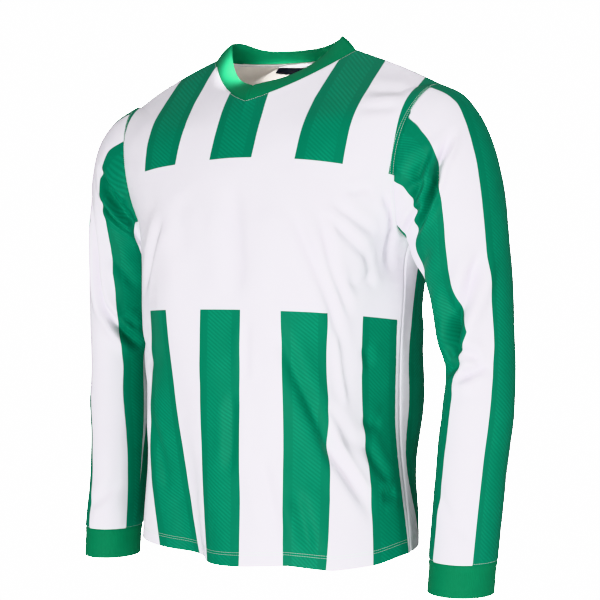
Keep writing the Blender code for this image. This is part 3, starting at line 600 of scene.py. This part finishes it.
def shellFaces(rows, cols, closed):
    # Outer grid, inner grid and the rims between them; also which grid point each corner reads
    # its cloth coordinates from, where a closed piece has one more column
    wide = cols if closed else cols - 1
    i, j = np.meshgrid(np.arange(rows - 1), np.arange(wide), indexing="ij")
    corners = np.stack([i, j, i, j + 1, i + 1, j + 1, i + 1, j], -1).reshape(-1, 4, 2)
    blocks = [(corners, np.zeros(4, int)), (corners[:, ::-1], np.ones(4, int))]
    j = np.arange(wide)
    for row, turn in ((0, 1), (rows - 1, -1)):
        r = np.full(wide, row)
        rim = np.stack([r, j, r, j, r, j + 1, r, j + 1], -1).reshape(-1, 4, 2)
        blocks.append((rim[:, ::turn], np.array([0, 1, 1, 0])[::turn]))
    if not closed:
        i = np.arange(rows - 1)
        for col, turn in ((0, -1), (cols - 1, 1)):
            c = np.full(rows - 1, col)
            rim = np.stack([i, c, i, c, i + 1, c, i + 1, c], -1).reshape(-1, 4, 2)
            blocks.append((rim[:, ::turn], np.array([0, 1, 1, 0])[::turn]))
    faces = np.concatenate([c[..., 0]*cols + c[..., 1] % cols + layer*rows*cols for c, layer in blocks])
    reads = np.concatenate([c[..., 0]*(wide + 1) + c[..., 1] for c, layer in blocks])
    kinds = np.concatenate([np.full(len(c), k) for k, (c, layer) in enumerate(blocks)])
    return faces, reads, kinds


def addObject(name, data):
    made = bpy.data.objects.new(name, data)
    bpy.context.scene.collection.objects.link(made)
    return made


def addPiece(name, points, faces, materials, uv=None, slots=None):
    mesh = bpy.data.meshes.new(name)
    mesh.from_pydata(points.reshape(-1, 3).tolist(), [], faces)
    for material in materials:
        mesh.materials.append(material)
    if slots is not None:
        mesh.polygons.foreach_set("material_index", slots.astype(np.int32))
    if uv is not None:
        layer = mesh.uv_layers.new(name="cloth")
        layer.data.foreach_set("uv", uv.reshape(-1).astype(np.float32))
    mesh.shade_smooth()
    mesh.validate()
    mesh.update()
    piece = addObject(name, mesh)
    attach(piece, "root")
    return piece


def shellPiece(name, grid, thick, uv, materials, printed=None):
    # A closed cloth shell: the outer grid, and an inner one the cloth's thickness inside it
    p, n = grid["p"], grid["n"]
    rows, cols = p.shape[:2]
    inner = p - np.broadcast_to(thick, (rows, cols))[..., None]*n
    faces, reads, kinds = shellFaces(rows, cols, grid["closed"])
    slots = None
    if len(materials) > 1:
        slots = np.isin(kinds, (1, 4, 5))
        if printed is not None:
            slots &= ~printed.reshape(-1)[reads].all(1)
    piece = addPiece(name, np.concatenate([p, inner]), faces.tolist(), materials,
                     uv.reshape(-1, 2)[reads], slots)
    piece.data.set_sharp_from_angle(angle=np.radians(body["sharpFrom"]))
    grid["inner"] = inner
    return piece


def lineAt(grid, axis, fromEnd, distance, layer="p"):
    # Points and normals a set distance along the cloth from one edge of a grid
    p, n = grid[layer], grid["n"]
    if fromEnd:
        p, n = np.flip(p, axis), np.flip(n, axis)
    run = runLength(p, axis)
    at = np.expand_dims(np.clip((run <= distance).sum(axis) - 1, 0, run.shape[axis] - 2), axis)
    here, there = (np.take_along_axis(run, at + k, axis) for k in (0, 1))
    f = ((distance - here)/(there - here))[..., None]
    pick = [np.take_along_axis(v, (at + k)[..., None], axis) for v in (p, n) for k in (0, 1)]
    line = (pick[0]*(1 - f) + pick[1]*f).squeeze(axis)
    return line, unit((pick[2]*(1 - f) + pick[3]*f).squeeze(axis))


# Thread

thread = dict(
    thick=0.00055, stitch=0.0030, gap=0.0007, proud=0.00012,
    flat=0.8, sides=6, shares=(0.0, 0.12, 0.5, 0.88, 1.0), radii=(0.25, 0.8, 1.0, 0.8, 0.25),
    colour="#D9E8DF", shade="#CAD8CF", patches=900.0, detail=2.0,
    bump=0.2, relief=0.0001, roughness=0.45, sheen=0.1)


def threadRun(line, normals, closed=False):
    # Stitches along a line on the cloth, as flattened beads with round ends
    k = thread
    if closed:
        line, normals = np.concatenate([line, line[:1]]), np.concatenate([normals, normals[:1]])
    run = np.concatenate([[0], np.cumsum(np.linalg.norm(np.diff(line, axis=0), axis=-1))])
    count = int(run[-1]//k["stitch"])
    start = (np.arange(count) + 0.5)*run[-1]/count - k["stitch"]/2 + k["gap"]/2
    s = start[:, None] + np.array(k["shares"])*(k["stitch"] - k["gap"])
    centre, up = (np.stack([np.interp(s, run, v[:, axis]) for axis in range(3)], -1) for v in (line, normals))
    up = unit(up)
    out = unit(np.cross(unit(np.gradient(centre, axis=1)), up))
    centre = centre + up*k["proud"]
    turn = (np.arange(k["sides"])*2*np.pi/k["sides"])[:, None]
    radii = np.array(k["radii"])[:, None, None]*k["thick"]/2
    return centre[:, :, None] + radii*(np.cos(turn)*out[:, :, None] + k["flat"]*np.sin(turn)*up[:, :, None])


def stitchPiece(name, runs):
    # The beads of some lines in one mesh: quads round each bead and a cap at both its ends
    beads = np.concatenate(runs)
    count, rings, sides = beads.shape[:3]
    i, j = np.meshgrid(np.arange(rings - 1), np.arange(sides), indexing="ij")
    k = (j + 1) % sides
    quads = np.stack([i*sides + j, i*sides + k, (i + 1)*sides + k, (i + 1)*sides + j], -1).reshape(-1, 4)
    first = np.arange(count)[:, None]*rings*sides
    caps = [first + np.arange(sides)[::-1], first + (rings - 1)*sides + np.arange(sides)]
    faces = (quads[None] + first[..., None]).reshape(-1, 4).tolist() + np.concatenate(caps).tolist()
    return addPiece(name, beads, faces, [materials["thread"]])


# Materials

def linear(code):
    # sRGB hex to linear
    c = np.array([int(code[k:k + 2], 16) for k in (1, 3, 5)])/255
    c = np.where(c <= 0.04045, c/12.92, ((c + 0.055)/1.055)**2.4)
    return (*c.tolist(), 1.0)


def node(tree, kind, inputs=None, **settings):
    # Adds a node, sets its settings, then links or fills its inputs
    added = tree.nodes.new("ShaderNode" + kind)
    for key, value in settings.items():
        setattr(added, key, value)
    for key, value in (inputs or {}).items():
        if isinstance(value, bpy.types.NodeSocket):
            tree.links.new(value, added.inputs[key])
        else:
            added.inputs[key].default_value = value
    return added


def newMaterial(name, colour):
    material = bpy.data.materials.new(name)
    material.use_nodes = True
    material.diffuse_color = linear(colour)
    return material, material.node_tree


def clothPlace(tree):
    # Distances across and up the cloth, from the piece's own UV
    uv = node(tree, "UVMap", uv_map="cloth")
    split = node(tree, "SeparateXYZ", {0: uv.outputs[0]})
    return split.outputs[0], split.outputs[1]


def waveEvery(tree, value, pitch):
    # A sine with a crest every pitch
    turn = node(tree, "Math", {0: value, 1: 2*np.pi/pitch}, operation="MULTIPLY")
    return node(tree, "Math", {0: turn.outputs[0]}, operation="SINE").outputs[0]


def knitLoops(tree, across, up):
    # Rows of knit loops: a wave across the cloth times a shorter one up it
    waves = [waveEvery(tree, value, knit["loop"]*share) for value, share in ((across, 1.0), (up, 0.8))]
    return node(tree, "Math", {0: waves[0], 1: waves[1]}, operation="MULTIPLY").outputs[0]


def patchyColour(tree, spec, first, second):
    # A colour that drifts to a second one in soft patches, and the patches
    place = node(tree, "TexCoord").outputs["Object"]
    noise = node(tree, "TexNoise", {"Vector": place, "Scale": spec["patches"], "Detail": spec["detail"]})
    share = noise.outputs[0]
    colour = node(tree, "Mix", {0: share, 6: linear(first), 7: linear(second)}, data_type="RGBA")
    return colour.outputs[2], share


def finishCloth(material, spec, colour, height):
    # The colour, the fine relief and the nap of a finished cloth
    tree = material.node_tree
    shader = tree.nodes["Principled BSDF"]
    bump = node(tree, "Bump", {"Height": height, "Strength": spec["bump"], "Distance": spec["relief"]})
    tree.links.new(colour, shader.inputs["Base Color"])
    tree.links.new(bump.outputs[0], shader.inputs["Normal"])
    fixed = {"Roughness": spec["roughness"], "IOR": 1.45, "Specular IOR Level": 0.30,
             "Sheen Weight": spec["sheen"], "Sheen Roughness": 0.45}
    for key, value in fixed.items():
        shader.inputs[key].default_value = value
    return material


knit = dict(
    white="#EEEAF1", whiteLight="#F3F0F6", green="#007757", greenLight="#0B8865",
    printEdge=0.0005,          # how soft the printed edge is
    lineSlope=0.75,            # the tonal lines drop this much for each metre across
    linePitch=0.0052,          # up and down between two of them
    lineHalf=0.0178,           # half the width of the figured part of a stripe
    lineEdge=0.001, lineSharp=0.7, lineShow=1.6, lineRaised=0.5,
    loop=0.0022,               # drawn three times coarser than the real loops, to show
    patches=26.0, detail=3.0,  # so many to the metre: about 38 mm each
    bump=0.30, relief=0.00025, roughness=0.62, sheen=0.04)


def knitMaterial(name, band=False):
    # Polyester interlock knit, stripes dyed in by transfer print: matt, with a faint nap and a
    # slight sheen, and fine slanting tonal lines down the middle of each green stripe
    k = knit
    material, tree = newMaterial(name, k["white"])
    across, up = clothPlace(tree)
    half, soft = stripes["wide"]/2, k["printEdge"]
    falling = {3: 1.0, 4: 0.0}
    away = node(tree, "Math", {0: across, 1: stripes["wide"]}, operation="PINGPONG").outputs[0]
    on = node(tree, "MapRange", {0: away, 1: half - soft, 2: half + soft, **falling}).outputs[0]
    if band:
        high, low = stripes["bandHigh"], stripes["bandLow"]
        above = node(tree, "MapRange", {0: up, 1: high - soft, 2: high + soft})
        below = node(tree, "MapRange", {0: up, 1: low - soft, 2: low + soft, **falling})
        outside = node(tree, "Math", {0: above.outputs[0], 1: below.outputs[0]}, operation="ADD")
        on = node(tree, "Math", {0: on, 1: outside.outputs[0]}, operation="MULTIPLY").outputs[0]
    slant = node(tree, "Math", {0: across, 1: k["lineSlope"], 2: up}, operation="MULTIPLY_ADD").outputs[0]
    wave = waveEvery(tree, slant, k["linePitch"])
    line = node(tree, "MapRange", {0: wave, 1: -k["lineSharp"], 2: k["lineSharp"]}).outputs[0]
    figured = node(tree, "MapRange", {0: away, 1: k["lineHalf"] - k["lineEdge"], 2: k["lineHalf"], **falling})
    white, patchy = patchyColour(tree, k, k["white"], k["whiteLight"])
    for share in (figured.outputs[0], patchy, k["lineShow"]):
        line = node(tree, "Math", {0: line, 1: share}, operation="MULTIPLY", use_clamp=True).outputs[0]
    green = node(tree, "Mix", {0: line, 6: linear(k["green"]), 7: linear(k["greenLight"])}, data_type="RGBA")
    colour = node(tree, "Mix", {0: on, 6: white, 7: green.outputs[2]}, data_type="RGBA").outputs[2]
    loops = knitLoops(tree, across, up)
    height = node(tree, "Math", {0: line, 1: k["lineRaised"], 2: loops}, operation="MULTIPLY_ADD").outputs[0]
    return finishCloth(material, k, colour, height)


reverse = dict(colour="#EFEAE6", deep="#E5DFD9", patches=40.0, detail=4.0,      # about 25 mm each
               bump=0.30, relief=0.00025, roughness=0.72, sheen=0.1)


def reverseMaterial():
    # The unprinted back of the same knit: off-white and duller
    material, tree = newMaterial("interlock reverse", reverse["colour"])
    colour, patchy = patchyColour(tree, reverse, reverse["colour"], reverse["deep"])
    return finishCloth(material, reverse, colour, knitLoops(tree, *clothPlace(tree)))


rib = dict(colour="#107F53", deep="#09734B", pitch=0.0024, patchRaised=1.5,
           patches=55.0, detail=4.0,               # about 18 mm each
           bump=0.35, relief=0.0003, roughness=0.70, sheen=0.05)


def ribMaterial():
    # Fine rib knit in dyed polyester: soft, a little brighter than the print, with its ribs
    # drawn twice as coarse as they are, to show
    material, tree = newMaterial("fine rib knit", rib["colour"])
    ribs = waveEvery(tree, clothPlace(tree)[0], rib["pitch"])
    colour, patchy = patchyColour(tree, rib, rib["colour"], rib["deep"])
    height = node(tree, "Math", {0: patchy, 1: rib["patchRaised"], 2: ribs}, operation="MULTIPLY_ADD")
    return finishCloth(material, rib, colour, height.outputs[0])


tape = dict(near=0.0012, far=0.0077, lift=0.0003, thick=0.0007,
            colour="#F7F6F8", line="#8F9095", lineAt=0.78, lineHalf=0.09, lineCore=0.7,
            twill=4000.0,                          # radians of it for each metre: 1.6 mm apart
            bump=0.3, relief=0.0001, roughness=0.75, sheen=0.1)


def tapeMaterial():
    # Woven cotton twill tape with one grey yarn line along it
    material, tree = newMaterial("woven twill tape", tape["colour"])
    along, over = clothPlace(tree)
    away = node(tree, "Math", {0: over, 1: tape["lineAt"]}, operation="SUBTRACT")
    away = node(tree, "Math", {0: away.outputs[0]}, operation="ABSOLUTE")
    half = tape["lineHalf"]
    on = node(tree, "MapRange", {0: away.outputs[0], 1: half*tape["lineCore"], 2: half, 3: 1.0, 4: 0.0})
    ends = {6: linear(tape["colour"]), 7: linear(tape["line"])}
    colour = node(tree, "Mix", {0: on.outputs[0], **ends}, data_type="RGBA")
    slant = node(tree, "Math", {0: along, 1: tape["twill"], 2: over}, operation="MULTIPLY_ADD")
    twill = node(tree, "Math", {0: slant.outputs[0]}, operation="SINE")
    return finishCloth(material, tape, colour.outputs[2], twill.outputs[0])


label = dict(half=0.041, near=0.0090, far=0.0195, lift=0.0003, thick=0.0006,
             colour="#17181B", light="#222328", weave=0.0012,
             bump=0.3, relief=0.0001, roughness=0.42, sheen=0.0)


def labelMaterial():
    # Black damask label, left plain: a close weave with a faint satin gloss
    material, tree = newMaterial("black damask weave", label["colour"])
    weave = waveEvery(tree, clothPlace(tree)[0], label["weave"])
    ends = {6: linear(label["colour"]), 7: linear(label["light"])}
    colour = node(tree, "Mix", {0: weave, **ends}, data_type="RGBA")
    return finishCloth(material, label, colour.outputs[2], weave)


def threadMaterial():
    # Spun polyester sewing thread: pale, slightly glossy, with its twist as a fine grain
    material, tree = newMaterial("pale sewing thread", thread["colour"])
    colour, twist = patchyColour(tree, thread, thread["colour"], thread["shade"])
    return finishCloth(material, thread, colour, twist)


# Form of every piece

front = makePanel(1, frontCreases, 11)
back = makePanel(-1, backCreases, 21)
sleeves, cuffs = {}, {}
sleeveRings = np.unique(np.concatenate([np.linspace(0, 12, 225), (0.015, 0.04, 11.985, 11.96)]))
cuffRings = np.unique(np.concatenate([np.linspace(0, 3, 15), (0.02, 0.05, 2.90, 2.96, 2.985)]))
for panel in (front, back):
    relief = seamRelief(panel["edge"], runLength(panel["p"], 0))
    panel["relief"] = np.minimum(relief, seamRelief(panel["fromNeck"], panel["across"]))
for name, hand in (("left", 1), ("right", -1)):
    sleeves[hand] = makeTube(hand, sleeveRows, sleeveRings, sleevePhi(), sleeveCreases[name], 31 + hand)
    cuffs[hand] = makeTube(hand, cuffRows, cuffRings, sleevePhi(), None, 0)
joinSeams(front, back, sleeves, cuffs)
for hand in (1, -1):
    sleeves[hand]["relief"] = seamGroove(sleeves[hand]["top"]) + seamGroove(sleeves[hand]["end"])
    cuffs[hand]["relief"] = seamGroove(cuffs[hand]["top"])
for grid in (front, back, *sleeves.values(), *cuffs.values()):
    grid["p"] = grid["p"] + grid["relief"][..., None]*grid["n"]
print("form worked out")


def roundedEdge(distance, radius):
    # How far a fold's surface has turned in at that distance from its edge: a quarter circle
    d = np.clip(distance/radius, 0, 1)
    return radius*(1 - np.sqrt(1 - (1 - d)**2 + 1e-9))


collar = dict(steps=14, bulge=0.0015, thick=0.0022,
              fold=0.95,            # share of half the thickness in the fold at its free edge
              seam=0.4,             # share of a plain seam's groove
              mitreDeep=0.0009, mitreWide=0.0014)


def collarForm():
    # The band between the neck seam and its free edge, rounded out a little between them
    u = panelColumns()
    seam, free = [], []
    for side, panel in ((1, front), (-1, back)):
        v = u[:-1]*side
        row = panel["p"][-1] if side > 0 else panel["p"][-1, ::-1]
        seam.append(row[:-1])
        e = collarEdge["front" if side > 0 else "back"]
        s, bend, lift = arcShares(np.abs(v), e["roundness"], e["rise"], e["wrap"], e["point"])
        x, y = np.sign(v)*collarSide["x"]*s, e["y"] + (collarSide["y"] - e["y"])*bend
        away = np.hypot(x - collarLift["x"], y - collarLift["y"])/collarLift["reach"]
        z = e["z"] + (collarSide["z"] - e["z"])*lift + collarLift["high"]*np.exp(-away**2)
        free.append(np.stack([x, y, z], -1))
    seam, free = np.concatenate(seam), nudged(np.concatenate(free))
    nearEdges = (0.02, 0.05, 0.93, 0.965, 0.985, 0.995)
    w = np.unique(np.concatenate([np.linspace(0, 1, collar["steps"] + 1), nearEdges]))
    p = seam*(1 - w[:, None, None]) + free*w[:, None, None]
    outwards = unit(np.cross(np.roll(seam, -1, 0) - np.roll(seam, 1, 0), free - seam))
    p = p + (4*w*(1 - w)*collar["bulge"])[:, None, None]*outwards
    n = gridNormals(p, True)
    run = runRound(p)
    along = run - run[:, [len(u)//2]]
    height = runLength(p, 0)
    tuck = roundedEdge(runLength(p[::-1], 0)[::-1], collar["thick"]/2*collar["fold"])
    mitre = collar["mitreDeep"]*np.exp(-(along[:, :-1]/collar["mitreWide"])**2)
    p = p - (tuck + mitre - collar["seam"]*seamGroove(height))[..., None]*n
    thick = collar["thick"] - 2*tuck - mitre
    high = np.concatenate([height, height[:, :1]], 1)
    return dict(p=p, n=n, closed=True), thick, np.stack([along, high], -1)


materials = dict(
    front=knitMaterial("striped interlock front", band=True),
    plain=knitMaterial("striped interlock"),
    reverse=reverseMaterial(), rib=ribMaterial(), tape=tapeMaterial(), label=labelMaterial(),
    thread=threadMaterial())
print("materials made")


def standIn(solid, piece):
    # The piece takes the place of that solid of the CAD model
    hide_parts(solid)


# Body panels

for name, grid, outer in (("front", front, "front"), ("back", back, "plain")):
    hem = fade((body["hemDeep"] + body["hemStep"] - grid["fromHem"])/body["hemStep"])
    thick = body["thick"] + (body["hemThick"] - body["thick"])*hem
    tuck = roundedEdge(grid["fromHem"], body["hemThick"]/2)
    grid["p"] = grid["p"] - tuck[..., None]*grid["n"]
    uv = np.stack([grid["printed"], grid["printZ"]], -1)
    piece = shellPiece(name + "_cloth", grid, thick - body["hemFold"]*tuck, uv,
                       [materials[outer], materials["reverse"]], grid["fromHem"] < body["hemDeep"])
    standIn(name, piece)
print("body panels made")

# Sleeves and cuffs

cuff = dict(thick=0.0022, fold=0.48)      # the fold's share of the thickness at the edge
for name, hand in (("left", 1), ("right", -1)):
    grid = sleeves[hand]
    z = np.concatenate([grid["z"], grid["z"][:, :1]], 1)
    # Run the same way as the body on both arms, so the tonal lines slant alike
    printed = -hand*sleevePrint(z, grid["across"], grid["phi"], name)
    piece = shellPiece("sleeve_" + name + "_cloth", grid, body["thick"], np.stack([printed, z], -1),
                       [materials["plain"], materials["reverse"]])
    standIn("sleeve_" + name, piece)
    grid = cuffs[hand]
    tuck = roundedEdge(grid["end"], cuff["thick"]*cuff["fold"])
    grid["p"] = grid["p"] - tuck[..., None]*grid["n"]
    z = np.concatenate([grid["z"], grid["z"][:, :1]], 1)
    piece = shellPiece("cuff_" + name + "_rib", grid, cuff["thick"] - 2*tuck,
                       np.stack([grid["across"], z], -1), [materials["rib"]])
    standIn("cuff_" + name, piece)
print("sleeves and cuffs made")

# Collar, neck tape and label

standIn("collar", shellPiece("collar_rib", *collarForm(), [materials["rib"]]))


def trimPiece(name, spec, columns, material):
    # A strip on the inside of the back panel, from its own points moved in
    shares = np.linspace(0, 1, 7)
    places = spec["near"] + shares[::-1]*(spec["far"] - spec["near"])
    rows = [lineAt(back, 0, True, place, "inner") for place in places]
    p = np.stack([line for line, normal in rows])[:, columns]
    n = np.stack([normal for line, normal in rows])[:, columns]
    p, n = p[:, ::-1] - spec["lift"]*n[:, ::-1], -n[:, ::-1]
    p = p + spec["thick"]*n
    along = runLength(p, 1)
    grid = dict(p=p, n=n, closed=False)
    uv = np.stack([along - along[:, [-1]]/2, np.broadcast_to(shares[::-1, None], along.shape)], -1)
    return shellPiece(name, grid, spec["thick"], uv, [material])


everyColumn = np.arange(1, back["p"].shape[1] - 1)
underCollar = np.flatnonzero(np.abs(back["across"][-1]) < label["half"])
standIn("neck_tape", trimPiece("neck_tape_strip", tape, everyColumn, materials["tape"]))
standIn("neck_label", trimPiece("neck_label_patch", label, underCollar, materials["label"]))
print("collar, tape and label made")

# Stitching: distances of its lines from each edge

stitchLines = dict(hem=(0.0153, 0.0183), armhole=(0.0018, 0.0062), collar=0.0018, cuff=0.0016)
hole = (front["t"] >= body["armpitRow"]) & (front["t"] <= body["tipRow"])
for name, grid in (("front", front), ("back", back)):
    runs = [threadRun(*lineAt(grid, 0, False, height)) for height in stitchLines["hem"]]
    stitchPiece("hem_thread_" + name, runs)
    runs = [threadRun(*(v[hole] for v in lineAt(grid, 1, end, inset)))
            for inset in stitchLines["armhole"] for end in (False, True)]
    runs.append(threadRun(*lineAt(grid, 0, True, stitchLines["collar"])))
    stitchPiece("top_thread_" + name, runs)
for name, hand in (("left", 1), ("right", -1)):
    line, normals = lineAt(sleeves[hand], 0, True, stitchLines["cuff"])
    stitchPiece("cuff_thread_" + name, [threadRun(line, normals, closed=True)])
print("stitching made")
# Studio

studio = dict(
    eye=(0.9205, -1.6095, -0.3317), turn=29.1, lens=81.67, sensor=36.0,
    floorZ=-1.45, floorRadius=2.6, floorSides=96, floor="#F7F7F8", floorRoughness=0.9,
    sky=0.31, seen=12.0)        # the white round the scene, as a light and as the camera sees it
lights = dict(
    key=dict(kind="AREA", at=(0.32, -2.95, -1.10), energy=77.0, shape="DISK", size=1.1),
    side=dict(kind="AREA", at=(2.50, -0.90, -0.45), energy=24.0, shape="DISK", size=1.1),
    top=dict(kind="AREA", at=(0.10, 0.10, 1.70), energy=12.0, shape="DISK", size=1.8),
    # A narrow beam over the front of the collar onto the inside of the back
    neck=dict(kind="SPOT", at=(0.00, -1.40, 0.90), aim=(-0.028, 0.055, -0.055), energy=1350.0,
              spot_size=np.radians(4.0), spot_blend=0.7, shadow_soft_size=0.02))


def addLight(name, kind, at, aim=(0.0, 0.0, -0.36), **settings):
    light = bpy.data.lights.new(name, kind)
    for key, value in settings.items():
        setattr(light, key, value)
    lamp = addObject(name, light)
    lamp.location = at
    lamp.rotation_euler = (Vector(aim) - Vector(at)).to_track_quat("-Z", "Y").to_euler()


def makeFloor():
    # A round white floor a standing wearer's height below the shoulders
    sides = studio["floorSides"]
    turn = np.arange(sides)*2*np.pi/sides
    ring = np.stack([np.cos(turn), np.sin(turn), np.zeros(sides)], -1)*studio["floorRadius"]
    mesh = bpy.data.meshes.new("studio_floor")
    mesh.from_pydata((ring + (0, 0, studio["floorZ"])).tolist(), [], [list(range(sides))])
    material, tree = newMaterial("matt white paint", studio["floor"])
    shader = tree.nodes["Principled BSDF"]
    shader.inputs["Base Color"].default_value = linear(studio["floor"])
    shader.inputs["Roughness"].default_value = studio["floorRoughness"]
    mesh.materials.append(material)
    addObject("studio_floor", mesh)


def makeWorld():
    # White all round: full white where the camera looks, softer as a light
    world = bpy.data.worlds.new("white studio")
    world.use_nodes = True
    tree = world.node_tree
    tree.nodes.clear()
    path = node(tree, "LightPath")
    light, seen = (node(tree, "Background", {"Color": (1, 1, 1, 1), "Strength": studio[name]}).outputs[0]
                   for name in ("sky", "seen"))
    mix = node(tree, "MixShader", {0: path.outputs["Is Camera Ray"], 1: light, 2: seen})
    node(tree, "OutputWorld", {"Surface": mix.outputs[0]})
    bpy.context.scene.world = world


def makeCamera():
    data = bpy.data.cameras.new("photo view")
    data.lens, data.sensor_width = studio["lens"], studio["sensor"]
    camera = addObject("photo view", data)
    camera.location = studio["eye"]
    camera.rotation_euler = (np.pi/2, 0, np.radians(studio["turn"]))
    bpy.context.scene.camera = camera


for name, spec in lights.items():
    addLight(name, **spec)
makeFloor()
makeWorld()
makeCamera()
bpy.context.scene.view_settings.view_transform = "Khronos PBR Neutral"
print("studio made")
